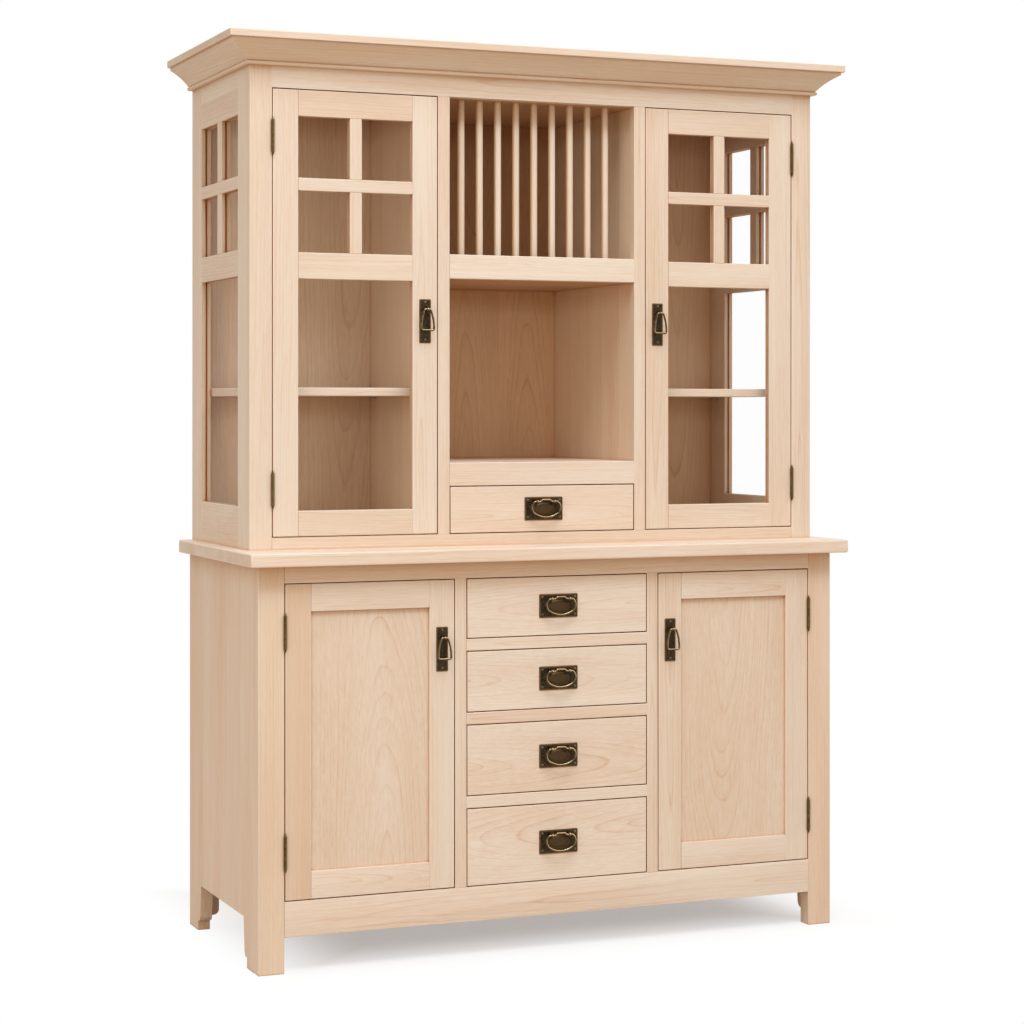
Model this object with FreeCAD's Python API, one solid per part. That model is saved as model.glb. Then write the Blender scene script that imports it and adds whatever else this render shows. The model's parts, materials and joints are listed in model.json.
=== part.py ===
import FreeCAD, Part
import math
import os
from FreeCAD import Vector

# A solid-wood buffet with a glazed hutch standing on its counter.
# Millimetres. X runs to the right, Y to the back and Z up, seen from the front.
# The origin is on the floor, at the middle of the whole piece.

# Buffet case
case_width = 1372.0
case_depth = 540.0
leg_width = 57.5
leg_depth = 36.0
side_thickness = 28.0
side_bottom = 105.0
foot_depth = 82.0
rear_foot_depth = 70.0
foot_height = 22.0
bracket_reach = 25.0
bracket_taper = 7.0
bracket_round = 13.0
rear_bracket_width = 34.0
apron_bottom = 76.5
apron_height = 74.5
top_rail_height = 36.5
mullion_width = 26.5
frame_thickness = 22.0
panel_board = 18.0
back_thickness = 8.0

# Drawer bank, openings listed from the top drawer down
bank_width = 434.0
bank_rail_height = 26.0
first_opening = 131.5
second_opening = 133.5
third_opening = 155.0
fourth_opening = 170.0

# Counter
counter_thickness = 29.0
counter_side_overhang = 26.5
counter_front_overhang = 37.5
counter_edge_round = 3.5

# Hutch case
hutch_side_inset = 5.5
hutch_set_back = 80.5
hutch_stile_width = 49.5
hutch_mullion_width = 27.5
centre_bay_width = 449.0
hutch_bottom_rail = 26.0
hutch_drawer_opening = 105.5
cubby_rail_height = 51.0
cubby_height = 404.0
rack_rail_height = 53.0
rack_height = 345.5
hutch_top_rail = 96.5
hutch_side_thickness = 22.0
side_front_stile = 66.0
side_back_stile = 80.0
side_top_rail = 56.5
side_rows_lift = 8.0
side_muntin_width = 32.0
dowel_radius = 8.0
dowel_count = 9
dowel_end_gap = 53.0
dowel_set_back = 55.0
shelf_height = 321.0
shelf_thickness = 18.0
shelf_front_gap = 34.0
shelf_end_gap = 1.0
pin_radius = 2.5
pin_depth = 10.0
pin_reach = 12.0
pin_clearance = 0.05

# Crown
crown_height = 50.0
crown_projection = 59.5
crown_board = 16.0
crown_board_round = 2.0
crown_bead_projection = 8.0
crown_bead_height = 8.0
crown_fillet_height = 5.5
crown_fillet_projection = 52.0
crown_cove_radius = 140.0

# Doors and drawers
door_gap = 2.0
door_thickness = 20.0
door_stile = 57.0
lower_rail = 58.5
glazed_top_rail = 56.0
glazed_middle_rail = 56.5
glazed_bottom_rail = 54.5
muntin_width = 27.5
small_light_height = 132.0
glass_thickness = 3.0
glass_recess = 10.0
glass_tongue = 5.0
door_panel_thickness = 8.0
door_panel_recess = 7.0
door_panel_tongue = 8.0
drawer_side = 12.0
drawer_bottom = 6.0
drawer_bottom_lift = 6.0
drawer_side_gap = 3.0
drawer_top_gap = 14.0
drawer_back_gap = 48.0
runner_lift = 3.0
runner_height = 15.0
slide_clearance = 0.3

# Hinges
hinge_length = 70.0
knuckle_count = 5
hinge_inset = 66.0
hinge_leaf_width = 16.0
hinge_leaf_thickness = 0.9
barrel_radius = 3.5
barrel_clearance = 0.3
barrel_joint = 0.3
hinge_pin_radius = 1.6
hinge_pin_clearance = 0.05
finial_radius = 2.8
finial_length = 6.0

# Pulls
pull_clearance = 0.08
door_plate_width = 27.0
door_plate_height = 96.0
door_plate_thickness = 2.0
ring_wire = 2.4
ring_post_wall = 1.3
ring_post_length = 15.0
ring_post_height = 25.0
ring_drop = 45.0
ring_flare = 21.5
ring_top_round = 3.2
ring_bottom_round = 5.0
upper_pull_height = 492.0
lower_pull_height = 668.0
drawer_plate_width = 92.0
drawer_plate_height = 52.0
drawer_plate_thickness = 2.5
boss_half_width = 27.0
boss_half_height = 14.5
boss_thickness = 2.5
bail_wire = 2.4
bail_post_wall = 1.6
bail_post_spacing = 41.5
bail_post_height = 15.5
bail_arch = 4.2
bail_arch_round = 5.0
bail_arch_slope = 40.0
bail_half_width = 34.5
bail_shoulder_round = 4.0
bail_shoulder_turn = 35.0
bail_corner_round = 16.0
bail_drop = 34.5
bail_plate_gap = 6.0
wire_straight_spare = 1.0
screw_head_radius = 2.8
screw_head_height = 1.2
screw_edge = 7.0

# Levels and planes worked out from the sizes above
case_back = (case_depth + counter_front_overhang) / 2
case_front = case_back - case_depth
half_case = case_width / 2
opening_bottom = apron_bottom + apron_height
bank_openings = [first_opening, second_opening, third_opening, fourth_opening]
opening_height = sum(bank_openings) + bank_rail_height * (len(bank_openings) - 1)
opening_top = opening_bottom + opening_height
case_top = opening_top + top_rail_height
counter_top = case_top + counter_thickness
half_bank = bank_width / 2
door_inner = half_bank + mullion_width
door_outer = half_case - leg_width
side_inner = half_case - side_thickness
frame_back = case_front + frame_thickness
back_face = case_back - back_thickness
deck_bottom = opening_bottom - panel_board
partition_inner = half_bank + (mullion_width - panel_board) / 2

half_hutch = half_case - hutch_side_inset
hutch_front = case_front + hutch_set_back
hutch_frame_back = hutch_front + frame_thickness
half_bay = centre_bay_width / 2
hutch_door_inner = half_bay + hutch_mullion_width
hutch_door_outer = half_hutch - hutch_stile_width
hutch_side_inner = half_hutch - hutch_side_thickness
bay_inner = half_bay + (hutch_mullion_width - panel_board) / 2
bay_outer = bay_inner + panel_board
hutch_floor = counter_top + hutch_bottom_rail
cubby_rail_bottom = hutch_floor + hutch_drawer_opening
cubby_floor = cubby_rail_bottom + cubby_rail_height
cubby_top = cubby_floor + cubby_height
rack_floor = cubby_top + panel_board
rack_rail_top = cubby_top + rack_rail_height
hutch_ceiling = rack_rail_top + rack_height
hutch_top = hutch_ceiling + hutch_top_rail
shelf_top = hutch_floor + shelf_height
shelf_bottom = shelf_top - shelf_thickness

# Heights of the glazing rows of the doors, and of the hutch sides a little above them
lights_top = hutch_ceiling - door_gap - glazed_top_rail
muntin_top = lights_top - small_light_height
muntin_bottom = muntin_top - muntin_width
small_lights_bottom = muntin_bottom - small_light_height
tall_light_top = small_lights_bottom - glazed_middle_rail
tall_light_bottom = hutch_floor + door_gap + glazed_bottom_rail
door_rows = [
    (tall_light_bottom, tall_light_top),
    (small_lights_bottom, muntin_bottom),
    (muntin_top, lights_top),
]
side_rows = [(low + side_rows_lift, high + side_rows_lift) for low, high in door_rows]


def board(x, y, z):
    """A square-edged board between two limits along each axis."""
    corner = Vector(min(x), min(y), min(z))
    return Part.makeBox(abs(x[1] - x[0]), abs(y[1] - y[0]), abs(z[1] - z[0]), corner)


def rod(start, direction, length, radius):
    """A round bar from a start point."""
    return Part.makeCylinder(radius, length, start, direction)


def grown(limits, amount):
    """Two limits moved apart by the same amount at both ends."""
    return (min(limits) - amount, max(limits) + amount)


def outline_solid(edges, thickness):
    """A closed outline of edges pushed out into a board."""
    return Part.Face(Part.Wire(Part.__sortEdges__(edges))).extrude(thickness)


def export(node, solids):
    """Writes one sub-part, as its separate solids."""
    Part.makeCompound(solids).exportStep("parts/" + node + ".step")


def line(start, end):
    return Part.LineSegment(start, end).toShape()


def ray(angle, length):
    """A step in X and Z, at an angle in degrees from +X towards +Z."""
    turn = math.radians(angle)
    return Vector(length * math.cos(turn), 0, length * math.sin(turn))


def rounded_corner(centre, radius, start_angle, end_angle):
    """An arc in the plane of the outline's X and Z, angles in degrees from +X towards +Z."""
    middle_angle = (start_angle + end_angle) / 2
    points = [centre + ray(angle, radius) for angle in (start_angle, middle_angle, end_angle)]
    return Part.Arc(*points).toShape()


def footed_outline(length, base, top, foot_start, foot_end):
    """A board's outline in X and Z with a tapered bracket at each foot, standing on its two feet."""
    reach_start = foot_start + bracket_reach
    reach_end = length - foot_end - bracket_reach
    nose_start = reach_start - bracket_taper
    nose_end = reach_end + bracket_taper
    bracket_top = foot_height + bracket_round
    corner_start = Vector(nose_start - bracket_round, 0, bracket_top)
    corner_end = Vector(nose_end + bracket_round, 0, bracket_top)
    return [
        line(Vector(0, 0, 0), Vector(foot_start, 0, 0)),
        line(Vector(foot_start, 0, 0), Vector(foot_start, 0, foot_height)),
        line(Vector(foot_start, 0, foot_height), Vector(corner_start.x, 0, foot_height)),
        rounded_corner(corner_start, bracket_round, -90, 0),
        line(Vector(nose_start, 0, bracket_top), Vector(reach_start, 0, base)),
        line(Vector(reach_start, 0, base), Vector(reach_end, 0, base)),
        line(Vector(reach_end, 0, base), Vector(nose_end, 0, bracket_top)),
        rounded_corner(corner_end, bracket_round, 180, 270),
        line(Vector(corner_end.x, 0, foot_height), Vector(length - foot_end, 0, foot_height)),
        line(Vector(length - foot_end, 0, foot_height), Vector(length - foot_end, 0, 0)),
        line(Vector(length - foot_end, 0, 0), Vector(length, 0, 0)),
        line(Vector(length, 0, 0), Vector(length, 0, top)),
        line(Vector(length, 0, top), Vector(0, 0, top)),
        line(Vector(0, 0, top), Vector(0, 0, 0)),
    ]


def buffet_front_legs():
    """Two straight front posts that run from the floor to the counter."""
    posts = []
    for side in (-1, 1):
        x = (side * door_outer, side * half_case)
        posts.append(board(x, (case_front, case_front + leg_depth), (0, case_top)))
    return posts


def buffet_side_panels():
    """Two flush sides behind the posts, cut away below between their feet."""
    length = case_depth - leg_depth
    edges = footed_outline(length, side_bottom, case_top, foot_depth - leg_depth, rear_foot_depth)
    flat = outline_solid(edges, Vector(0, side_thickness, 0))
    panels = []
    for side in (-1, 1):
        panel = flat.copy()
        panel.rotate(Vector(0, 0, 0), Vector(0, 0, 1), 90)
        start = side_inner + side_thickness if side > 0 else -side_inner
        panel.translate(Vector(start, case_front + leg_depth, 0))
        panels.append(panel)
    return panels


def buffet_face_frame():
    """Apron, top rail, two mullions and the rails between the drawers."""
    depth = (case_front, frame_back)
    across = (-door_outer, door_outer)
    pieces = [
        board(across, depth, (apron_bottom, opening_bottom)),
        board(across, depth, (opening_top, case_top)),
    ]
    for side in (-1, 1):
        pieces.append(board((side * half_bank, side * door_inner), depth, (opening_bottom, opening_top)))
    level = opening_top
    for height in bank_openings[:-1]:
        level -= height + bank_rail_height
        pieces.append(board((-half_bank, half_bank), depth, (level, level + bank_rail_height)))
    return pieces


def cabinet_partitions():
    """Upright boards behind the mullions, two in the buffet and two in the hutch."""
    uprights = []
    for side in (-1, 1):
        x = (side * partition_inner, side * (partition_inner + panel_board))
        uprights.append(board(x, (frame_back, back_face), (opening_bottom, case_top)))
    for side in (-1, 1):
        x = (side * bay_inner, side * bay_outer)
        upright = board(x, (hutch_frame_back, back_face), (hutch_floor, hutch_ceiling))
        for pin in shelf_pin_bores(side, bay_outer - pin_depth):
            upright = upright.cut(pin)
        uprights.append(upright)
    return uprights


def buffet_bottom():
    """The floor of the buffet, notched round the front posts."""
    floor = board((-side_inner, side_inner), (frame_back, back_face), (deck_bottom, opening_bottom))
    for post in buffet_front_legs():
        floor = floor.cut(post)
    return [floor]


def buffet_rear_skirt():
    """A rail under the back of the floor, dropping to a rounded bracket beside each rear foot."""
    width = 2 * side_inner
    bracket_top = foot_height + bracket_round
    inner = rear_bracket_width
    left = Vector(inner - bracket_round, 0, bracket_top)
    right = Vector(width - inner + bracket_round, 0, bracket_top)
    edges = [
        line(Vector(0, 0, foot_height), Vector(left.x, 0, foot_height)),
        rounded_corner(left, bracket_round, -90, 0),
        line(Vector(inner, 0, bracket_top), Vector(inner, 0, side_bottom)),
        line(Vector(inner, 0, side_bottom), Vector(width - inner, 0, side_bottom)),
        line(Vector(width - inner, 0, side_bottom), Vector(width - inner, 0, bracket_top)),
        rounded_corner(right, bracket_round, 180, 270),
        line(Vector(right.x, 0, foot_height), Vector(width, 0, foot_height)),
        line(Vector(width, 0, foot_height), Vector(width, 0, deck_bottom)),
        line(Vector(width, 0, deck_bottom), Vector(0, 0, deck_bottom)),
        line(Vector(0, 0, deck_bottom), Vector(0, 0, foot_height)),
    ]
    skirt = outline_solid(edges, Vector(0, -panel_board, 0))
    skirt.translate(Vector(-side_inner, back_face, 0))
    return [skirt]


def back_panels():
    """Thin backs let in between the sides of the buffet and of the hutch."""
    depth = (back_face, case_back)
    lower = board((-side_inner, side_inner), depth, (deck_bottom, case_top))
    upper = board((-hutch_side_inner, hutch_side_inner), depth, (counter_top, hutch_top))
    return [lower, upper]


def runner_pair(half_opening, wall, floor, height, depth):
    """Two rails that carry a drawer's sides, fixed to the partitions beside it."""
    top = floor + runner_lift - slide_clearance
    inner = half_opening - drawer_side_gap - drawer_side
    return [board((side * inner, side * wall), depth, (top - height, top)) for side in (-1, 1)]


def drawer_runners():
    """Runners for every drawer; the lowest ones lie as thin strips on the cabinet floors."""
    strip = runner_lift - slide_clearance
    runners = []
    for number, floor in enumerate(drawer_floors):
        height = strip if number == len(drawer_floors) - 1 else runner_height
        runners += runner_pair(half_bank, partition_inner, floor, height, (frame_back, back_face))
    runners += runner_pair(half_bay, bay_inner, hutch_floor, strip, (hutch_frame_back, back_face))
    return runners


def counter():
    """The counter, with eased edges, over the front and both sides of the buffet."""
    half = half_case + counter_side_overhang
    depth = (case_front - counter_front_overhang, case_back)
    slab = board((-half, half), depth, (case_top, counter_top))
    return [slab.makeFillet(counter_edge_round, slab.Edges)]


def shelf_pin_places():
    """The depths of the front and back shelf pins, in line with the side stiles."""
    front = hutch_frame_back + side_front_stile / 2 + shelf_front_gap / 2
    return (front, case_back - side_back_stile / 2)


def shelf_pin_bores(side, start):
    """The holes for one wall's two shelf pins, from a distance outwards from the middle."""
    level = shelf_bottom - pin_radius
    bores = []
    for depth in shelf_pin_places():
        place = Vector(side * start, depth, level)
        bores.append(rod(place, Vector(side, 0, 0), pin_depth, pin_radius + pin_clearance))
    return bores


def shelf_pins():
    """Four short pins under each hutch shelf, half sunk in the side stile or the partition."""
    level = shelf_bottom - pin_radius
    pins = []
    for side in (-1, 1):
        for depth in shelf_pin_places():
            for start in (bay_outer - pin_depth, hutch_side_inner - pin_reach):
                place = Vector(side * start, depth, level)
                pins.append(rod(place, Vector(side, 0, 0), pin_depth + pin_reach, pin_radius))
    return pins


def hutch_shelves():
    """One shelf behind each glazed door."""
    x = (bay_outer + shelf_end_gap, hutch_side_inner - shelf_end_gap)
    depth = (hutch_frame_back + shelf_front_gap, back_face)
    return [board((side * x[0], side * x[1]), depth, (shelf_bottom, shelf_top)) for side in (-1, 1)]


def hutch_face_frame():
    """Stiles, top and bottom rails, mullions, and the rails of the cubby and the plate rack."""
    depth = (hutch_front, hutch_frame_back)
    across = (-hutch_door_outer, hutch_door_outer)
    bay = (-half_bay, half_bay)
    pieces = [
        board(across, depth, (counter_top, hutch_floor)),
        board(across, depth, (hutch_ceiling, hutch_top)),
        board(bay, depth, (cubby_rail_bottom, cubby_floor)),
        board(bay, depth, (cubby_top, rack_rail_top)),
    ]
    for side in (-1, 1):
        stile = (side * hutch_door_outer, side * half_hutch)
        mullion = (side * half_bay, side * hutch_door_inner)
        pieces.append(board(stile, depth, (counter_top, hutch_top)))
        pieces.append(board(mullion, depth, (hutch_floor, hutch_ceiling)))
    return pieces


def side_light_places():
    """The depths of the two lights in a glazed side, on each side of its upright muntin."""
    front = hutch_frame_back + side_front_stile
    back = case_back - side_back_stile
    middle = (front + back) / 2
    half = side_muntin_width / 2
    return (front, middle - half), (middle + half, back)


def side_panes(side):
    """The five panes of one side, each with a tongue all round."""
    outer = side * (half_hutch - glass_recess)
    x = (outer, outer - side * glass_thickness)
    front_light, back_light = side_light_places()
    tall, lower, upper = side_rows
    whole = (front_light[0], back_light[1])
    places = [(whole, tall)]
    places += [(light, row) for row in (lower, upper) for light in (front_light, back_light)]
    return [board(x, grown(y, glass_tongue), grown(z, glass_tongue)) for y, z in places]


def hutch_side_frames():
    """Stiles, rails and muntins of both glazed sides, grooved for their panes."""
    pieces = []
    tall, lower, upper = side_rows
    frieze = upper[1] + side_top_rail
    for side in (-1, 1):
        x = (side * hutch_side_inner, side * half_hutch)
        (front, muntin_front), (muntin_back, back) = side_light_places()
        members = [
            board(x, (hutch_frame_back, front), (counter_top, hutch_top)),
            board(x, (back, case_back), (counter_top, hutch_top)),
            board(x, (front, back), (counter_top, tall[0])),
            board(x, (front, back), (tall[1], lower[0])),
            board(x, (front, back), (lower[1], upper[0])),
            board(x, (front, back), (upper[1], frieze)),
            board(x, (front, back), (frieze, hutch_top)),
            board(x, (muntin_front, muntin_back), lower),
            board(x, (muntin_front, muntin_back), upper),
        ]
        cutters = side_panes(side) + shelf_pin_bores(side, hutch_side_inner)
        pieces += [member.cut(cutters) for member in members]
    return pieces


def hutch_side_glass():
    return side_panes(-1) + side_panes(1)


def hutch_decks():
    """Floor and ceiling of the hutch, and the boards under the cubby and the plate rack."""
    depth = (hutch_frame_back, back_face)
    across = (-hutch_side_inner, hutch_side_inner)
    bay = (-bay_inner, bay_inner)
    return [
        board(across, depth, (hutch_floor - panel_board, hutch_floor)),
        board(across, depth, (hutch_ceiling, hutch_ceiling + panel_board)),
        board(bay, depth, (cubby_floor - panel_board, cubby_floor)),
        board(bay, depth, (cubby_top, rack_floor)),
    ]


def dowel_places():
    """Where the dowels stand across the bay, evenly spread between the gaps at its two ends."""
    first = bay_inner - dowel_end_gap
    pitch = 2 * first / (dowel_count - 1)
    return [number * pitch - first for number in range(dowel_count)]


def plate_rack_dowels():
    """A row of dowels from the rack's board to the ceiling."""
    dowels = []
    for place in dowel_places():
        foot = Vector(place, hutch_front + dowel_set_back, rack_floor)
        dowels.append(rod(foot, Vector(0, 0, 1), hutch_ceiling - rack_floor, dowel_radius))
    return dowels


def crown_profile():
    """The moulding's section in Y and Z: bead below, hollow cove, square fillet on top."""
    bottom = hutch_top - crown_height
    bead_top = bottom + crown_bead_height
    fillet_bottom = hutch_top - crown_fillet_height
    bead = -crown_bead_projection
    fillet = -crown_fillet_projection
    low = Vector(0, bead, bead_top)
    high = Vector(0, fillet, fillet_bottom)
    chord = high - low
    sag = crown_cove_radius - math.sqrt(crown_cove_radius ** 2 - (chord.Length / 2) ** 2)
    inward = Vector(0, chord.z, -chord.y).normalize()
    middle = (low + high) / 2 + inward * sag
    bead_front = Vector(0, bead - crown_bead_height / 2, bottom + crown_bead_height / 2)
    return [
        line(Vector(0, 0, bottom), Vector(0, bead, bottom)),
        Part.Arc(Vector(0, bead, bottom), bead_front, low).toShape(),
        Part.Arc(low, middle, high).toShape(),
        line(high, Vector(0, fillet, hutch_top)),
        line(Vector(0, fillet, hutch_top), Vector(0, 0, hutch_top)),
        line(Vector(0, 0, hutch_top), Vector(0, 0, bottom)),
    ]


def plan_solid(points):
    """A tall block over a plan outline, used to cut the moulding at its mitres."""
    corners = [Vector(x, y, hutch_top - crown_height) for x, y in points]
    wire = Part.makePolygon(corners + corners[:1])
    return Part.Face(wire).extrude(Vector(0, 0, crown_height))


def crown_moulding():
    """Three lengths of cove moulding, mitred at the two front corners."""
    section = crown_profile()
    reach = crown_projection
    wide = half_hutch + reach
    front_length = outline_solid(section, Vector(2 * wide, 0, 0))
    front_length.translate(Vector(-wide, hutch_front, 0))
    near = hutch_front - reach
    front_plan = [(-half_hutch, hutch_front), (half_hutch, hutch_front), (wide, near), (-wide, near)]
    pieces = [front_length.common(plan_solid(front_plan))]
    for side in (-1, 1):
        length = outline_solid(section, Vector(case_back - near, 0, 0))
        length.rotate(Vector(0, 0, 0), Vector(0, 0, 1), side * 90)
        start = near if side > 0 else case_back
        length.translate(Vector(side * half_hutch, start, 0))
        inner, outer = side * half_hutch, side * wide
        plan = [(inner, hutch_front), (outer, near), (outer, case_back), (inner, case_back)]
        pieces.append(length.common(plan_solid(plan)))
    return pieces


def crown_top_board():
    """The flat board that caps the hutch and overhangs the moulding."""
    half = half_hutch + crown_projection
    depth = (hutch_front - crown_projection, case_back)
    cap = board((-half, half), depth, (hutch_top, hutch_top + crown_board))
    return [cap.makeFillet(crown_board_round, cap.Edges)]


def upper_door_place(side):
    """Limits in X and Z of a glazed door, hinge edge first."""
    x = (side * (hutch_door_outer - door_gap), side * (hutch_door_inner + door_gap))
    return x, (hutch_floor + door_gap, hutch_ceiling - door_gap)


def lower_door_place(side):
    """Limits in X and Z of a panelled door, hinge edge first."""
    x = (side * (door_outer - door_gap), side * (door_inner + door_gap))
    return x, (opening_bottom + door_gap, opening_top - door_gap)


def glazed_door_panes(side):
    """One tall pane below four small ones, each with a tongue all round."""
    x, z = upper_door_place(side)
    light = (abs(x[0]) - door_stile, abs(x[1]) + door_stile)
    middle = sum(light) / 2
    outer_light = (side * light[0], side * (middle + muntin_width / 2))
    inner_light = (side * (middle - muntin_width / 2), side * light[1])
    whole = (outer_light[0], inner_light[1])
    tall, lower, upper = door_rows
    places = [(whole, tall)]
    places += [(part, row) for row in (lower, upper) for part in (outer_light, inner_light)]
    y = (hutch_front + glass_recess, hutch_front + glass_recess + glass_thickness)
    return [board(grown(part, glass_tongue), y, grown(row, glass_tongue)) for part, row in places]


def glazed_door_frame(side):
    """Stiles, rails and muntins of one glazed door, grooved for its panes."""
    x, z = upper_door_place(side)
    y = (hutch_front, hutch_front + door_thickness)
    hinge_stile = (x[0], x[0] - side * door_stile)
    free_stile = (x[1], x[1] + side * door_stile)
    between = (hinge_stile[1], free_stile[1])
    middle = sum(between) / 2
    muntin = (middle - muntin_width / 2, middle + muntin_width / 2)
    members = [
        board(hinge_stile, y, z),
        board(free_stile, y, z),
        board(between, y, (z[0], tall_light_bottom)),
        board(between, y, (tall_light_top, small_lights_bottom)),
        board(between, y, (lights_top, z[1])),
        board(between, y, (muntin_bottom, muntin_top)),
        board(muntin, y, (small_lights_bottom, muntin_bottom)),
        board(muntin, y, (muntin_top, lights_top)),
    ]
    panes = glazed_door_panes(side)
    return [member.cut(panes) for member in members]


def lower_door_panel(side):
    """The flat panel of one lower door, tongued into its frame."""
    x, z = lower_door_place(side)
    opening = (x[0] - side * door_stile, x[1] + side * door_stile)
    front = case_front + door_panel_recess
    y = (front, front + door_panel_thickness)
    height = grown((z[0] + lower_rail, z[1] - lower_rail), door_panel_tongue)
    return board(grown(opening, door_panel_tongue), y, height)


def lower_door_frame(side):
    """Stiles and rails of one lower door, grooved for its panel."""
    x, z = lower_door_place(side)
    y = (case_front, case_front + door_thickness)
    hinge_stile = (x[0], x[0] - side * door_stile)
    free_stile = (x[1], x[1] + side * door_stile)
    between = (hinge_stile[1], free_stile[1])
    members = [
        board(hinge_stile, y, z),
        board(free_stile, y, z),
        board(between, y, (z[0], z[0] + lower_rail)),
        board(between, y, (z[1] - lower_rail, z[1])),
    ]
    panel = lower_door_panel(side)
    return [member.cut(panel) for member in members]


def hinge_axis(x, side, face):
    """The upright line that a door turns about, in the gap at its edge and just proud of its face."""
    return Vector(x[0] + side * door_gap / 2, face - barrel_radius - barrel_clearance, 0)


def hinge_starts(z):
    """The lower ends of a door's two hinges."""
    return (z[0] + hinge_inset, z[1] - hinge_inset - hinge_length)


def knuckle_rows():
    """Heights of the knuckles of a hinge above its lower end, bottom one first."""
    step = hinge_length / knuckle_count
    return [(number * step, (number + 1) * step) for number in range(knuckle_count)]


def hinge_leaf(axis, start, face, outward, owned):
    """One leaf: a plate against the wood, with the knuckles that belong to it."""
    rows = knuckle_rows()
    plate_x = (axis.x + outward * (door_gap / 2 - hinge_leaf_thickness), axis.x + outward * door_gap / 2)
    neck = face + barrel_clearance
    leaf = board(plate_x, (neck, face + hinge_leaf_width), (start, start + hinge_length))
    for number in owned:
        low, high = rows[number]
        low += start + (barrel_joint / 2 if number > 0 else 0)
        high += start - (barrel_joint / 2 if number < len(rows) - 1 else 0)
        knuckle = rod(Vector(axis.x, axis.y, low), Vector(0, 0, 1), high - low, barrel_radius)
        leaf = leaf.fuse([knuckle, board(plate_x, (axis.y, neck), (low, high))])
    foot = Vector(axis.x, axis.y, start)
    bore = rod(foot, Vector(0, 0, 1), hinge_length, hinge_pin_radius + hinge_pin_clearance)
    return leaf.cut(bore).removeSplitter()


def hinge_pin(axis, start):
    """A pin through the knuckles, with a pointed finial at each end."""
    end = start + hinge_length
    pin = rod(Vector(axis.x, axis.y, start), Vector(0, 0, 1), hinge_length, hinge_pin_radius)
    top = Part.makeCone(finial_radius, hinge_pin_radius / 2, finial_length, Vector(axis.x, axis.y, end))
    low = Vector(axis.x, axis.y, start)
    bottom = Part.makeCone(finial_radius, hinge_pin_radius / 2, finial_length, low, Vector(0, 0, -1))
    return pin.fuse([top, bottom])


def case_hinges():
    """The leaves screwed to the case, and the pins that stay in them."""
    pieces = []
    for place, face in ((upper_door_place, hutch_front), (lower_door_place, case_front)):
        for side in (-1, 1):
            x, z = place(side)
            axis = hinge_axis(x, side, face)
            for start in hinge_starts(z):
                pieces.append(hinge_leaf(axis, start, face, side, range(0, knuckle_count, 2)))
                pieces.append(hinge_pin(axis, start))
    return pieces


def door_hinge_leaves(place, side, face):
    """The two leaves let into a door's edge."""
    x, z = place(side)
    axis = hinge_axis(x, side, face)
    owned = range(1, knuckle_count, 2)
    return [hinge_leaf(axis, start, face, -side, owned) for start in hinge_starts(z)]


def bent_edges(place, bends):
    """Tangent runs in X and Z that set off along +X, as lengths with no turn or radii with a turn.

    A turn is in degrees, to the right of the way ahead as seen from the front.
    """
    heading = 0.0
    edges = []
    for size, turn in bends:
        if turn == 0:
            end = place + ray(heading, size)
            edges.append(line(place, end))
        else:
            start_angle = heading + math.copysign(90.0, turn)
            centre = place - ray(start_angle, size)
            end = centre + ray(start_angle - turn, size)
            edges.append(rounded_corner(centre, size, start_angle, start_angle - turn))
            heading -= turn
        place = end
    return edges


def wire_loop(half, start, radius):
    """Round wire along a closed loop, from the edges of its right half and a point on a straight run."""
    left = Part.Wire(half).mirror(Vector(0, 0, 0), Vector(1, 0, 0))
    loop = Part.Wire(Part.__sortEdges__(half + left.Edges))
    edges = ordered_from(loop.Edges, start)
    first = edges[0]
    heading = first.tangentAt(first.FirstParameter)
    section = Part.Wire(Part.makeCircle(radius, start, heading))
    return Part.Wire(edges).makePipeShell([section], True, False)


def ring_post_radius():
    return ring_wire + pull_clearance + ring_post_wall


def bail_post_radius():
    return bail_wire + pull_clearance + bail_post_wall


def post(place, length, radius, bore):
    """A round-nosed post standing forward of a plate, bored across for the wire."""
    stem = rod(place, Vector(0, -1, 0), length, radius)
    nose = Part.makeSphere(radius, place + Vector(0, -length, 0))
    hole = rod(place + Vector(-radius, -length, 0), Vector(1, 0, 0), 2 * radius, bore)
    return stem.fuse(nose).cut(hole).removeSplitter()


def screw_head(place):
    """A low domed screw head on a plate."""
    ball = (screw_head_radius ** 2 + screw_head_height ** 2) / (2 * screw_head_height)
    sunk = ball - screw_head_height
    rim = math.degrees(math.asin(sunk / ball))
    return Part.makeSphere(ball, place + Vector(0, sunk, 0), Vector(0, -1, 0), rim, 90, 360)


def door_pull_plate(middle):
    """A tall plate with one bored post and a screw at each end."""
    x = grown((middle.x, middle.x), door_plate_width / 2)
    z = grown((middle.z, middle.z), door_plate_height / 2)
    front = middle.y - door_plate_thickness
    pieces = [board(x, (front, middle.y), z)]
    place = Vector(middle.x, front, middle.z + ring_post_height)
    pieces.append(post(place, ring_post_length, ring_post_radius(), ring_wire + pull_clearance))
    screw = door_plate_height / 2 - screw_edge
    pieces += [screw_head(Vector(middle.x, front, middle.z + turn * screw)) for turn in (-1, 1)]
    return pieces


def door_ring_axis(middle):
    """The middle of the ring's top bar, which turns in its post."""
    return middle + Vector(0, -door_plate_thickness - ring_post_length, ring_post_height)


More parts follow.
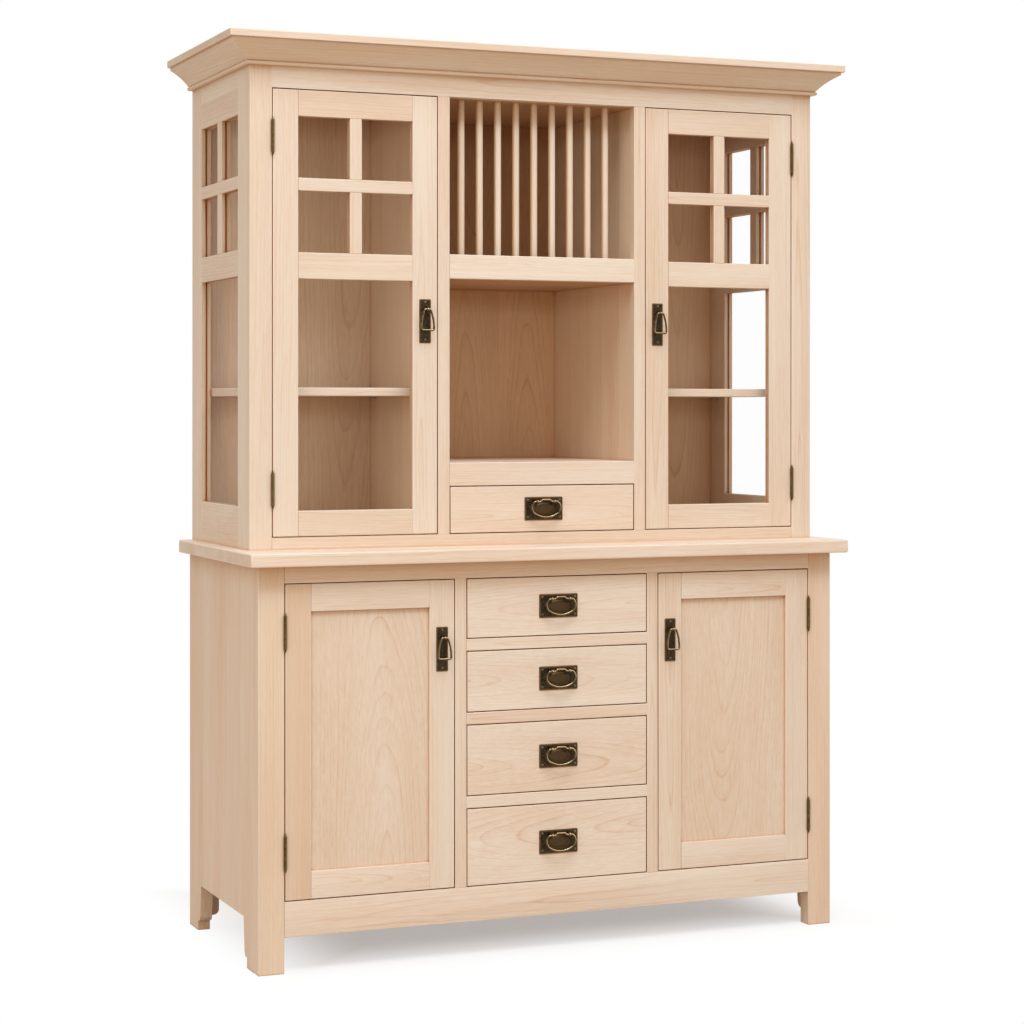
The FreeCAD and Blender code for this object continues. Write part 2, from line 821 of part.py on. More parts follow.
def door_ring(middle):
    """A bell of round wire: a short bar in the post, sides that bow outwards, a straight bar below."""
    straight = ring_post_radius() + wire_straight_spare
    flare = math.radians(ring_flare)
    side_drop = ring_drop - ring_bottom_round - ring_top_round * (1 - math.sin(flare))
    side_round = side_drop / math.sin(flare)
    half_width = straight + ring_top_round * math.cos(flare) + side_round * (1 - math.cos(flare))
    bends = [
        (straight, 0),
        (ring_top_round, 90 - ring_flare),
        (side_round, ring_flare),
        (ring_bottom_round, 90),
        (half_width - ring_bottom_round, 0),
    ]
    half = bent_edges(Vector(0, 0, 0), bends)
    ring = wire_loop(half, Vector(straight, 0, 0), ring_wire)
    ring.translate(door_ring_axis(middle))
    return [ring]


def drawer_pull_plate(middle):
    """A wide plate with a raised oval, two bored posts and a screw at each corner."""
    half_width = drawer_plate_width / 2
    half_height = drawer_plate_height / 2
    front = middle.y - drawer_plate_thickness
    x = grown((middle.x, middle.x), half_width)
    pieces = [board(x, (front, middle.y), grown((middle.z, middle.z), half_height))]
    radius = bail_post_radius()
    for side in (-1, 1):
        place = Vector(middle.x + side * bail_post_spacing / 2, front, middle.z + bail_post_height)
        pieces.append(post(place, bail_post_length(), radius, bail_wire + pull_clearance))
    oval_middle = Vector(middle.x, front, middle.z + bail_post_height - bail_drop / 2)
    oval = Part.Ellipse(Vector(0, 0, 0), boss_half_width, boss_half_height).toShape()
    boss = Part.Face(Part.Wire(oval)).extrude(Vector(0, 0, boss_thickness))
    boss.rotate(Vector(0, 0, 0), Vector(1, 0, 0), 90)
    boss.translate(oval_middle)
    pieces.append(boss)
    for side in (-1, 1):
        for turn in (-1, 1):
            step = Vector(side * (half_width - screw_edge), 0, turn * (half_height - screw_edge))
            pieces.append(screw_head(Vector(middle.x, front, middle.z) + step))
    return pieces


def bail_post_length():
    """Far enough forward for the arch to stay clear of the plate when the bail is level."""
    return bail_arch + bail_wire + bail_plate_gap


def drawer_bail_axis(middle):
    """The middle of the line that a bail turns about, through both posts."""
    return middle + Vector(0, -drawer_plate_thickness - bail_post_length(), bail_post_height)


def drawer_bail(middle):
    """An oval of round wire, with straight runs in the posts and a low arch between them."""
    straight = bail_post_radius() + wire_straight_spare
    inner = bail_post_spacing / 2 - straight
    outer = bail_post_spacing / 2 + straight
    slope = math.radians(bail_arch_slope)
    ramp = (bail_arch - 2 * bail_arch_round * (1 - math.cos(slope))) / math.sin(slope)
    crest = inner - 2 * bail_arch_round * math.sin(slope) - ramp * math.cos(slope)
    bend = math.radians(bail_shoulder_turn)
    reach = bail_half_width - outer - bail_shoulder_round * math.sin(bend)
    side_round = reach / (1 - math.sin(bend))
    side_drop = bail_shoulder_round * (1 - math.cos(bend)) + side_round * math.cos(bend)
    across = bail_half_width - bail_corner_round
    below = bail_drop - side_drop
    sweep_round = (across ** 2 + below ** 2 - bail_corner_round ** 2) / (2 * (below - bail_corner_round))
    corner_turn = math.degrees(math.atan2(sweep_round - below, across))
    bends = [
        (crest, 0),
        (bail_arch_round, bail_arch_slope),
        (ramp, 0),
        (bail_arch_round, -bail_arch_slope),
        (2 * straight, 0),
        (bail_shoulder_round, bail_shoulder_turn),
        (side_round, 90 - bail_shoulder_turn),
        (bail_corner_round, corner_turn),
        (sweep_round, 90 - corner_turn),
    ]
    half = bent_edges(Vector(0, 0, bail_arch), bends)
    bail = wire_loop(half, Vector(outer, 0, 0), bail_wire)
    bail.translate(drawer_bail_axis(middle))
    return [bail]


def ordered_from(edges, start):
    """A loop's edges, in order, from the one that begins at a point."""
    first = 0
    for number, edge in enumerate(edges):
        if edge.valueAt(edge.FirstParameter).distanceToPoint(start) < pull_clearance:
            first = number
    return edges[first:] + edges[:first]


def drawer_front(half_opening, floor, height, face):
    """An inset front with an even gap round it."""
    x = grown((0, 0), half_opening - door_gap)
    return board(x, (face, face + door_thickness), (floor + door_gap, floor + height - door_gap))


def drawer_box(half_opening, floor, height, face):
    """Two sides, a back and a bottom behind a drawer front."""
    half = half_opening - drawer_side_gap
    inner = half - drawer_side
    y = (face + door_thickness, back_face - drawer_back_gap)
    z = (floor + runner_lift, floor + height - drawer_top_gap)
    low = z[0] + drawer_bottom_lift
    sides = [board((side * inner, side * half), y, z) for side in (-1, 1)]
    back = board((-inner, inner), (y[1] - drawer_side, y[1]), z)
    bottom = board((-inner, inner), (y[0], y[1] - drawer_side), (low, low + drawer_bottom))
    return sides + [back, bottom]


# Floors of the four openings of the drawer bank, top one first
drawer_floors = []
bank_level = opening_top
for bank_opening in bank_openings:
    drawer_floors.append(bank_level - bank_opening)
    bank_level -= bank_opening + bank_rail_height

# Every drawer by name: half its opening's width, its opening's floor and height, and its face
drawers = {"hutch_drawer": (half_bay, hutch_floor, hutch_drawer_opening, hutch_front)}
for number, bank_opening in enumerate(bank_openings):
    drawers["drawer_" + str(number + 1)] = (half_bank, drawer_floors[number], bank_opening, case_front)

# Every door by name: its place, the side it hangs on, its face and its pull's height
doors = {}
for side_name, side in (("left", -1), ("right", 1)):
    upper_level = counter_top + upper_pull_height
    doors["upper_" + side_name + "_door"] = (upper_door_place, side, hutch_front, upper_level)
    doors["lower_" + side_name + "_door"] = (lower_door_place, side, case_front, lower_pull_height)

os.makedirs("parts", exist_ok=True)

export("buffet_front_legs", buffet_front_legs())
export("buffet_side_panels", buffet_side_panels())
export("buffet_face_frame", buffet_face_frame())
export("cabinet_partitions", cabinet_partitions())
export("buffet_bottom", buffet_bottom())
export("buffet_rear_skirt", buffet_rear_skirt())
export("back_panels", back_panels())
export("drawer_runners", drawer_runners())
export("counter_top", counter())
export("hutch_side_frames", hutch_side_frames())
export("hutch_side_glass", hutch_side_glass())
export("hutch_face_frame", hutch_face_frame())
export("hutch_decks", hutch_decks())
export("plate_rack_dowels", plate_rack_dowels())
export("hutch_shelves", hutch_shelves())
export("shelf_pins", shelf_pins())
export("crown_moulding", crown_moulding())
export("crown_top_board", crown_top_board())
export("case_hinges", case_hinges())

for name, (place, side, face, pull_level) in doors.items():
    door_x, door_z = place(side)
    pull_middle = Vector(door_x[1] + side * door_stile / 2, face, pull_level)
    if place is upper_door_place:
        export(name + "_frame", glazed_door_frame(side))
        export(name + "_glass", glazed_door_panes(side))
    else:
        export(name + "_frame", lower_door_frame(side))
        export(name + "_panel", [lower_door_panel(side)])
    export(name + "_hinge_leaves", door_hinge_leaves(place, side, face))
    export(name + "_pull_plate", door_pull_plate(pull_middle))
    export(name + "_ring", door_ring(pull_middle))

for name, (half_opening, floor, height, face) in drawers.items():
    pull_middle = Vector(0, face, floor + height / 2)
    export(name + "_front", [drawer_front(half_opening, floor, height, face)])
    export(name + "_box", drawer_box(half_opening, floor, height, face))
    export(name + "_pull_plate", drawer_pull_plate(pull_middle))
    export(name + "_bail", drawer_bail(pull_middle))
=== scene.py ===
import bisect
import json
import math
import random

import bmesh
import bpy
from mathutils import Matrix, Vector

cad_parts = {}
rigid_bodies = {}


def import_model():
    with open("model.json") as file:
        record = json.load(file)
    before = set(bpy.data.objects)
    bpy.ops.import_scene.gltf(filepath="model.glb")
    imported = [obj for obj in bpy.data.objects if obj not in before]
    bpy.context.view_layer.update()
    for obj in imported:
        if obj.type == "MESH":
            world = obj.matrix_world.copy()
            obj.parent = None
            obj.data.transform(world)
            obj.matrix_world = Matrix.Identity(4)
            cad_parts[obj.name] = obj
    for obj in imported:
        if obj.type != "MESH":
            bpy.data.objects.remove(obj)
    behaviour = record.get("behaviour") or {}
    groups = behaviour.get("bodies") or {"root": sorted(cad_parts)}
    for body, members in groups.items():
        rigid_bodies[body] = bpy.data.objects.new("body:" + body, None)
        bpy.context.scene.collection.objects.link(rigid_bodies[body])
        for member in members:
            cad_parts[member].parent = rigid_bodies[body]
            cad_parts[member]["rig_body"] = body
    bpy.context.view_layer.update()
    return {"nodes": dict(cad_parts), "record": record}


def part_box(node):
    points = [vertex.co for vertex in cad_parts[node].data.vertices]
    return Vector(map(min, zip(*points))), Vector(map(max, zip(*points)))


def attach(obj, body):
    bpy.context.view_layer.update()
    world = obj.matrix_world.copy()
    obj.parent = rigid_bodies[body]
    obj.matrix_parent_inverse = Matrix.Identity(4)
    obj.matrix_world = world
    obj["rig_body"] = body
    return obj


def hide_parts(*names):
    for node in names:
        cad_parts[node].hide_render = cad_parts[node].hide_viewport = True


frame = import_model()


# Front legs of the buffet
# Two straight posts of solid maple, planed square and eased on their long edges.
# They run from the floor to the counter, and the face frame is glued between them.
mm = 0.001
sideways = 0
edge_ease = 1.7 * mm
ring_width = 8 * mm
maple_pale = (0.822, 0.715, 0.590)
maple_line = (0.650, 0.395, 0.215)
maple_figure = 0.52
leg_pale = (0.812, 0.660, 0.510)
leg_figure = 0.60


def solids_of(node):
    """The closed shells of a CAD node, each a list of faces given by their corner points."""
    mesh = frame["nodes"][node].data
    kept_digits = 6
    shells, shell, open_edges = [], [], set()
    for face in mesh.polygons:
        corners = [tuple(round(x, kept_digits) for x in mesh.vertices[v].co) for v in face.vertices]
        shell.append(corners)
        for start, end in zip(corners, corners[1:] + corners[:1]):
            if (end, start) in open_edges:
                open_edges.remove((end, start))
            elif start != end:
                open_edges.add((start, end))
        if not open_edges:
            shells.append(shell)
            shell = []
    return shells


def box_of(shell):
    """The lowest and highest corner of a shell."""
    points = [corner for face in shell for corner in face]
    return Vector(map(min, *points)), Vector(map(max, *points))


def block(low, high):
    """The six faces of a square block, as a shell."""
    x, y, z = zip(low, high)
    corner = [(x[i & 1], y[i >> 1 & 1], z[i >> 2]) for i in range(8)]
    sides = ((0, 2, 3, 1), (4, 5, 7, 6), (0, 1, 5, 4), (2, 6, 7, 3), (0, 4, 6, 2), (1, 3, 7, 5))
    return [[corner[i] for i in side] for side in sides]


slot_of = {part["node"]: part["material_slot"] for part in frame["record"]["subparts"]}
wood_slots = ("maple", "back_ply", "drawer_wood")
body_boxes = {}


def wood_boxes(body):
    """The boxes of every board that moves with a body, for finding where boards meet."""
    if body not in body_boxes:
        nodes = [n for n, o in frame["nodes"].items() if o["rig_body"] == body and slot_of[n] in wood_slots]
        body_boxes[body] = [box_of(shell) for node in nodes for shell in solids_of(node)]
    return body_boxes[body]


def is_joint(edge, own, boxes):
    """Whether most of an edge lies against another board."""
    reach = 0.05 * mm
    steps = 7
    start, end = (vert.co for vert in edge.verts)
    covered = 0
    for step in range(steps):
        point = start.lerp(end, (step + 0.5) / steps)
        covered += any(
            box != own and all(box[0][i] - reach < point[i] < box[1][i] + reach for i in range(3))
            for box in boxes
        )
    return covered > steps / 2


def stave_cuts(low, high, axis, width, chance):
    """Where a wide board is glued up from narrower ones, across an axis."""
    uneven = 0.22
    count = max(1, round((high[axis] - low[axis]) / width)) if width else 1
    step = (high[axis] - low[axis]) / count
    return [low[axis] + step * (i + chance.uniform(-uneven, uneven)) for i in range(1, count)]


def grain_of(width, length, figure, chance):
    """How a stave was sawn: where it lay in the tree, its slope, how fine its rings are, and its shade."""
    straight_share = 0.7
    steepest = 0.012
    finest = 1.5
    off_centre = 0.16
    coarse_width = 160 * mm
    farthest_cut = 9
    if figure == "straight" or (figure == "mixed" and chance.random() < straight_share):
        across = chance.choice((-1, 1)) * chance.uniform(55 * mm, 130 * mm)
        deep = chance.uniform(12 * mm, 60 * mm)
        slope = chance.uniform(-steepest, steepest)
        fineness = chance.uniform(1.0, finest)
    else:
        across = chance.uniform(-off_centre, off_centre) * width
        climb = chance.uniform(0.20, 0.34) * width
        deep = climb / 2 + chance.uniform(0.02, 0.08) * width
        slope = chance.choice((-1, 1)) * climb / length
        fineness = min(finest, max(1.0, coarse_width / width))
    place = Vector((across, deep, chance.uniform(-farthest_cut, farthest_cut)))
    return place, slope, fineness, chance.random()


def boards(node, finish, along=None, ease=edge_ease, stave=None, figure="mixed", shells=None, rails=None):
    """A node's boards as one mesh: eased edges, the run of the grain, and another finish for rails."""
    level_faces = math.radians(0.4)
    sharp_edge = math.radians(40)
    shading_edge = math.radians(20)
    sideways_lean = 0.2
    body = frame["nodes"][node]["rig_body"]
    chance = random.Random(node)
    points, faces, grains, cuts, is_rail = [], [], [], [], []
    for shell in shells or solids_of(node):
        own = box_of(shell)
        low, high = own
        size = high - low
        run = size[:].index(max(size)) if along is None else along
        thin, wide = sorted((axis for axis in range(3) if axis != run), key=lambda axis: size[axis])
        board = bmesh.new()
        place = {}
        for corners in shell:
            for corner in corners:
                if corner not in place:
                    place[corner] = board.verts.new(corner)
            verts = [place[corner] for corner in corners]
            if len(set(verts)) == len(verts):
                board.faces.new(verts)
        bmesh.ops.dissolve_limit(board, angle_limit=level_faces, verts=board.verts, edges=board.edges)
        seams = stave_cuts(low, high, wide, stave, chance)
        normal = Vector([float(axis == wide) for axis in range(3)])
        for seam in seams:
            everything = board.verts[:] + board.edges[:] + board.faces[:]
            bmesh.ops.bisect_plane(board, geom=everything, plane_co=normal * seam, plane_no=normal)
        board.normal_update()
        sharp = [
            edge for edge in board.edges
            if edge.is_manifold and edge.is_convex and edge.calc_face_angle() > sharp_edge
            and not is_joint(edge, own, wood_boxes(body))
        ]
        eased = set()
        if ease and sharp:
            made = bmesh.ops.bevel(
                board, geom=sharp, offset=ease, segments=2, profile=0.5, affect="EDGES", clamp_overlap=True
            )
            eased = set(made["faces"])
        board.normal_update()
        limits = [low[wide]] + seams + [high[wide]]
        staves = [grain_of(b - a, size[run], figure, chance) for a, b in zip(limits, limits[1:])]
        first = len(points)
        board.verts.index_update()
        points += [vert.co[:] for vert in board.verts]
        for face in board.faces:
            number = bisect.bisect(seams, face.calc_center_median()[wide])
            offset, slope, fineness, shade = staves[number]
            middle = (limits[number] + limits[number + 1]) / 2
            faces.append([first + vert.index for vert in face.verts])
            is_rail.append(int(run == sideways))
            ends = abs(face.normal[run])
            for vert in face.verts:
                lengthwise = vert.co[run] - low[run]
                across = vert.co[wide] - middle + offset.x + sideways_lean * slope * lengthwise
                deep = vert.co[thin] - low[thin] + offset.y + slope * (lengthwise - size[run] / 2)
                grains += (across * fineness, deep * fineness, lengthwise + offset.z)
                cuts += (float(face in eased), ends, shade)
        board.free()
    mesh = bpy.data.meshes.new(node + "_wood")
    mesh.from_pydata(points, [], faces)
    mesh.attributes.new("grain", "FLOAT_VECTOR", "CORNER").data.foreach_set("vector", grains)
    mesh.attributes.new("cut", "FLOAT_VECTOR", "CORNER").data.foreach_set("vector", cuts)
    mesh.shade_smooth()
    mesh.set_sharp_from_angle(angle=shading_edge)
    mesh.materials.append(finish)
    if rails:
        mesh.materials.append(rails)
        mesh.polygons.foreach_set("material_index", is_rail)
    piece = bpy.data.objects.new(node + "_wood", mesh)
    bpy.context.scene.collection.objects.link(piece)
    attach(piece, body)
    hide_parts(node)
    return piece


def add(tree, kind, inputs=None, **settings):
    """One shader node with its settings, and its inputs set or linked."""
    made = tree.nodes.new("ShaderNode" + kind)
    for name, value in settings.items():
        setattr(made, name, value)
    for socket, value in (inputs or {}).items():
        if isinstance(value, bpy.types.NodeSocket):
            tree.links.new(value, made.inputs[socket])
        else:
            made.inputs[socket].default_value = value
    return made


def math_node(tree, operation, *values):
    return add(tree, "Math", dict(enumerate(values)), operation=operation).outputs[0]


def noise(tree, vector, stretch, detail=2.0, roughness=0.5):
    """Noise over a stretched copy of some coordinates."""
    scaled = add(tree, "VectorMath", {0: vector, 1: stretch}, operation="MULTIPLY").outputs[0]
    settings = {"Vector": scaled, "Scale": 1.0, "Detail": detail, "Roughness": roughness}
    return add(tree, "TexNoise", settings)


def remapped(tree, value, low, high, new_low, new_high):
    inputs = {"Value": value, "From Min": low, "From Max": high, "To Min": new_low, "To Max": new_high}
    return add(tree, "MapRange", inputs).outputs[0]


def mixed(tree, blend, amount, first, second):
    """Two colours mixed by a blend mode."""
    made = add(tree, "Mix", data_type="RGBA", blend_type=blend)
    for socket, value in ((0, amount), (6, first), (7, second)):
        if isinstance(value, bpy.types.NodeSocket):
            tree.links.new(value, made.inputs[socket])
        else:
            made.inputs[socket].default_value = value if socket == 0 else (*value, 1.0)
    return made.outputs[2]


# Painted shade: a warm brown tint for wood that is sheltered from above, under ledges and overhangs.
ledge_shade_tint = (0.80, 0.66, 0.52)
# Painted shade: a brown tint for wood in joints, gaps and corners.
joint_shade_tint = (0.80, 0.48, 0.26)
ledge_reach = 70 * mm
joint_reach = 12 * mm
pink_tint = (1.0, 0.975, 0.955)
pink_change = 7.3
end_grain_tint = (0.86, 0.80, 0.74)
end_grain_share = 0.8
# Painted highlight: a lighter colour for the eased edges.
edge_highlight_colour = (0.95, 0.84, 0.70)
edge_highlight_share = 0.4
ring_profile = ((0.50, 0.0), (0.84, 0.26), (0.93, 1.0))
year_swing = 2.4
wander = (
    ((6.0, 6.0, 2.0), 26 * mm),
    ((24.0, 24.0, 8.0), 6 * mm),
    ((80.0, 80.0, 20.0), 0.9 * mm),
)
fibre_stretch = (150.0, 150.0, 3.0)
fleck_stretch = (420.0, 420.0, 26.0)
cloud_stretch = (11.0, 11.0, 1.6)
presence_stretch = (9.0, 9.0, 3.0)


def wood_finish(name, pale, line, figure, under=ledge_shade_tint):
    """Oiled wood: growth rings, fibres along the grain, a painted highlight on eased edges, and painted
    shade under ledges and in joints.
    """
    material = bpy.data.materials.new(name)
    material.use_nodes = True
    tree = material.node_tree
    shader = tree.nodes["Principled BSDF"]
    grain = add(tree, "Attribute", attribute_name="grain").outputs["Vector"]
    cut = add(tree, "SeparateXYZ", {0: add(tree, "Attribute", attribute_name="cut").outputs["Vector"]})
    eased, end_grain, shade = cut.outputs

    bent = grain
    for stretch, amount in wander:
        drift = noise(tree, grain, stretch, detail=1.0).outputs["Color"]
        centred = add(tree, "VectorMath", {0: drift, 1: (0.5, 0.5, 0.5)}, operation="SUBTRACT").outputs[0]
        across_only = {0: centred, 1: (amount, amount, 0.0)}
        push = add(tree, "VectorMath", across_only, operation="MULTIPLY").outputs[0]
        bent = add(tree, "VectorMath", {0: bent, 1: push}, operation="ADD").outputs[0]
    flat = add(tree, "VectorMath", {0: bent, 1: (1.0, 1.0, 0.0)}, operation="MULTIPLY").outputs[0]
    radius = add(tree, "VectorMath", {0: flat}, operation="LENGTH").outputs["Value"]
    years = math_node(tree, "DIVIDE", radius, ring_width)
    good_years = add(tree, "TexNoise", {"W": years, "Scale": 0.35, "Detail": 1.0}, noise_dimensions="1D")
    uneven = math_node(tree, "MULTIPLY_ADD", good_years.outputs[0], year_swing, years)
    ramp = add(tree, "ValToRGB", {0: math_node(tree, "FRACT", uneven)})
    stops = ramp.color_ramp.elements
    stops[0].position, stops[1].position = 0.0, 1.0
    stops[0].color = (0.0, 0.0, 0.0, 1)
    stops[1].color = (0.0, 0.0, 0.0, 1)
    for position, value in ring_profile:
        stop = stops.new(position)
        stop.color = (value, value, value, 1)
    year = math_node(tree, "FLOOR", uneven)
    luck = add(tree, "TexWhiteNoise", {"W": year}, noise_dimensions="1D").outputs[0]
    presence = noise(tree, grain, presence_stretch).outputs[0]
    vigour = remapped(tree, luck, 0.0, 1.0, 0.35, 1.0)
    strength = math_node(tree, "MULTIPLY", vigour, remapped(tree, presence, 0.36, 0.62, 0.45, 1.0))
    rings = math_node(tree, "MULTIPLY", ramp.outputs[0], strength)

    fibre = noise(tree, bent, fibre_stretch, detail=3.0, roughness=0.6).outputs[0]
    fleck = noise(tree, bent, fleck_stretch, detail=2.0).outputs[0]
    cloud = noise(tree, grain, cloud_stretch, detail=1.0).outputs[0]
    dark = math_node(tree, "MULTIPLY", rings, figure)
    dark = math_node(tree, "ADD", remapped(tree, fibre, 0.3, 0.7, -0.08, 0.09), dark)
    dark = math_node(tree, "ADD", remapped(tree, fleck, 0.3, 0.7, -0.10, 0.10), dark)
    dark = math_node(tree, "ADD", remapped(tree, cloud, 0.3, 0.7, -0.06, 0.20), dark)
    dark = math_node(tree, "ADD", remapped(tree, shade, 0.0, 1.0, 0.02, 0.22), dark)
    colour = mixed(tree, "MIX", add(tree, "Clamp", {0: dark}).outputs[0], pale, line)
    pinkness = math_node(tree, "FRACT", math_node(tree, "MULTIPLY", shade, pink_change))
    pink = mixed(tree, "MULTIPLY", pinkness, colour, pink_tint)
    cut_across = math_node(tree, "MULTIPLY", end_grain, end_grain_share)
    ends = mixed(tree, "MULTIPLY", cut_across, pink, end_grain_tint)
    # Painted highlight: the eased edges are mixed towards a lighter colour.
    edge_highlight_amount = math_node(tree, "MULTIPLY", eased, edge_highlight_share)
    edge_lit = mixed(tree, "MIX", edge_highlight_amount, ends, edge_highlight_colour)
    # Painted shade: wood sheltered from above, under ledges, is tinted darker.
    overhead = add(tree, "CombineXYZ", {"Z": 1.0}).outputs[0]
    upwards = {"Distance": ledge_reach, "Normal": overhead}
    ledge = add(tree, "AmbientOcclusion", upwards, samples=4).outputs["AO"]
    ledge_shaded = mixed(tree, "MULTIPLY", remapped(tree, ledge, 0.05, 0.30, 1.0, 0.0), edge_lit, under)
    # Painted shade: wood close to other surfaces, in joints, gaps and corners, is tinted brown and made
    # rougher.
    openness = add(tree, "AmbientOcclusion", {"Distance": joint_reach}, samples=4).outputs["AO"]
    joint_shade = remapped(tree, openness, 0.20, 0.68, 1.0, 0.0)
    tree.links.new(mixed(tree, "MULTIPLY", joint_shade, ledge_shaded, joint_shade_tint), shader.inputs["Base Color"])
    shader.inputs["Specular IOR Level"].default_value = 0.40
    rough = remapped(tree, joint_shade, 0.0, 1.0, remapped(tree, fibre, 0.3, 0.7, 0.46, 0.58), 1.0)
    tree.links.new(rough, shader.inputs["Roughness"])
    height = math_node(tree, "MULTIPLY_ADD", fleck, 0.6, math_node(tree, "MULTIPLY", fibre, 0.5))
    bump = add(tree, "Bump", {"Strength": 0.25, "Distance": 0.25 * mm, "Height": height})
    tree.links.new(bump.outputs[0], shader.inputs["Normal"])
    return material


maple = wood_finish("natural_maple", maple_pale, maple_line, maple_figure)
leg_maple = wood_finish("leg_maple", leg_pale, maple_line, leg_figure)
boards("buffet_front_legs", leg_maple, figure="straight")


# Sides of the buffet
# Each side is one wide panel, glued up from upright maple boards and planed flush behind its leg.
# Its lower edge is sawn out between the feet, with a small rounded bracket left on each.
side_stave = 95 * mm
boards("buffet_side_panels", leg_maple, stave=side_stave, figure="straight")


# Face frame of the buffet
# Mullions of maple, with a paler apron, top rail and drawer rails, all glued flush with one another.
front_pale = (0.862, 0.768, 0.655)
front_figure = 0.44
front_maple = wood_finish("front_maple", front_pale, maple_line, front_figure)
boards("buffet_face_frame", maple, rails=front_maple)


# Boards inside the buffet and behind the hutch's mullions
# Upright partitions, the floor, and the hardwood runners that carry the drawers, all glued in.
inner_stave = 85 * mm
partition_pale = (0.885, 0.720, 0.545)
partition_maple = wood_finish("partition_maple", partition_pale, maple_line, maple_figure)
boards("cabinet_partitions", partition_maple, stave=inner_stave, figure="straight")
boards("buffet_bottom", maple, stave=inner_stave)
boards("drawer_runners", maple, figure="straight")


# Back of the buffet and of the hutch
# Thin panels veneered with tall leaves of flat-cut maple, made paler at the left by painted light and darker
# behind the rack by painted shade.
# A solid rail below the buffet's panel drops to a bracket at each back foot.
upright = 2
leaf_width = 175 * mm
ply_pale = (0.850, 0.615, 0.400)
ply_line = (0.560, 0.350, 0.190)
# Painted light for the leaves at the left, and painted shade for the leaves behind the rack.
left_lit_pale = (0.935, 0.770, 0.580)
rack_shade_pale = (0.540, 0.320, 0.165)
rack_shade_line = (0.350, 0.190, 0.085)
veneer_figure = 0.55
rack_shade_slot, left_lit_slot = 1, 2
back_veneer = wood_finish("back_veneer", ply_pale, ply_line, veneer_figure)
left_painted_light = wood_finish("left_painted_light", left_lit_pale, ply_line, veneer_figure)
rack_painted_shade = wood_finish("rack_painted_shade", rack_shade_pale, rack_shade_line, veneer_figure)
back_boxes = [box_of(shell) for shell in solids_of("back_panels")]
buffet_back, hutch_back = sorted(back_boxes, key=lambda box: box[1].z)
deck_boxes = sorted((box_of(shell) for shell in solids_of("hutch_decks")), key=lambda box: box[0].z)
rack_floor, ceiling = deck_boxes[2:4]
low, high = hutch_back
columns = [low.x, rack_floor[0].x, rack_floor[1].x, high.x]
levels = [low.z, rack_floor[1].z, ceiling[0].z, high.z]
core = (low.y + high.y) / 2
leaves = [block(*buffet_back), block((low.x, core, low.z), high)]
for left, right in zip(columns, columns[1:]):
    rows = levels if left == rack_floor[0].x else [low.z, high.z]
    leaves += [block((left, low.y, b), (right, core, t)) for b, t in zip(rows, rows[1:])]
panels = boards("back_panels", back_veneer, upright, None, leaf_width, "flat", leaves)
panels.data.materials.append(rack_painted_shade)
panels.data.materials.append(left_painted_light)
# Painted light on the leaves at the left, painted shade on the leaves behind the rack.
for face in panels.data.polygons:
    x, y, z = face.center
    if y < core and z > low.z and x < rack_floor[0].x:
        face.material_index = left_lit_slot
    elif y < core and rack_floor[0].x < x < rack_floor[1].x and levels[1] < z < levels[2]:
        face.material_index = rack_shade_slot
boards("buffet_rear_skirt", maple)


# Counter
# A thick slab glued up from long boards of the palest maple, with its edges rounded over.
# It overhangs the front and both ends, and is glued down on the case.
counter_round = 3.5 * mm
counter_board = 105 * mm
palest = (0.885, 0.775, 0.655)
pale_figure = 0.50
pale_maple = wood_finish("pale_maple", palest, maple_line, pale_figure)
slab = block(*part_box("counter_top"))
boards("counter_top", pale_maple, sideways, counter_round, counter_board, "flat", [slab])


# Glazed sides of the hutch
# Maple stiles, rails and muntins joined flush, grooved for clear float glass.
glass_index = 1.45
glass_shine = 0.12
boards("hutch_side_frames", maple)


def clear_glass():
    """Float glass: light goes straight through, and a little is mirrored at its faces."""
    material = bpy.data.materials.new("float_glass")
    material.use_nodes = True
    tree = material.node_tree
    output = tree.nodes["Material Output"]
    tree.nodes.remove(tree.nodes["Principled BSDF"])
    place = add(tree, "TexCoord").outputs["Object"]
    ripple = noise(tree, place, (2.5, 2.5, 2.5), detail=1.0).outputs[0]
    bump = add(tree, "Bump", {"Strength": 0.15, "Distance": 1.0 * mm, "Height": ripple}).outputs[0]
    through = add(tree, "BsdfTransparent").outputs[0]
    mirrored = add(tree, "BsdfGlossy", {"Roughness": 0.02, "Normal": bump}).outputs[0]
    leaving = add(tree, "NewGeometry").outputs["Backfacing"]
    index = remapped(tree, leaving, 0.0, 1.0, glass_index, 1 / glass_index)
    share = add(tree, "Fresnel", {"IOR": index}).outputs[0]
    coated = math_node(tree, "MULTIPLY", share, glass_shine)
    surface = add(tree, "MixShader", {0: coated, 1: through, 2: mirrored}).outputs[0]
    tree.links.new(surface, output.inputs["Surface"])
    return material


glass = clear_glass()


def finished(node, finish):
    """A CAD node that keeps its own shape and takes a finish."""
    mesh = frame["nodes"][node].data
    mesh.materials.clear()
    mesh.materials.append(finish)


finished("hutch_side_glass", glass)


# Face frame of the hutch
# Maple stiles, mullions and paler rails like the buffet's, standing on the counter.
boards("hutch_face_frame", maple, rails=front_maple)


# Floors, ceiling and shelves of the hutch
# Solid maple boards glued to the partitions, pale on top and darker below, where the darker finish is
# painted shade.
# One loose shelf lies on steel pins behind each glazed door.
underside_shade_pale = (0.660, 0.450, 0.280)
underside_shade_line = (0.450, 0.270, 0.140)
deck_figure = 0.50
shelf_figure = 0.60
no_ledge_shade = (1.0, 1.0, 1.0)
faces_up = 0.5
underside_shade_maple = wood_finish("underside_shade_maple", underside_shade_pale, underside_shade_line, deck_figure)
decks = boards("hutch_decks", underside_shade_maple, along=sideways, stave=inner_stave)
decks.data.materials.append(pale_maple)
# Painted shade: faces that do not face up take the darker finish.
for face in decks.data.polygons:
    face.material_index = int(face.normal.z > faces_up)
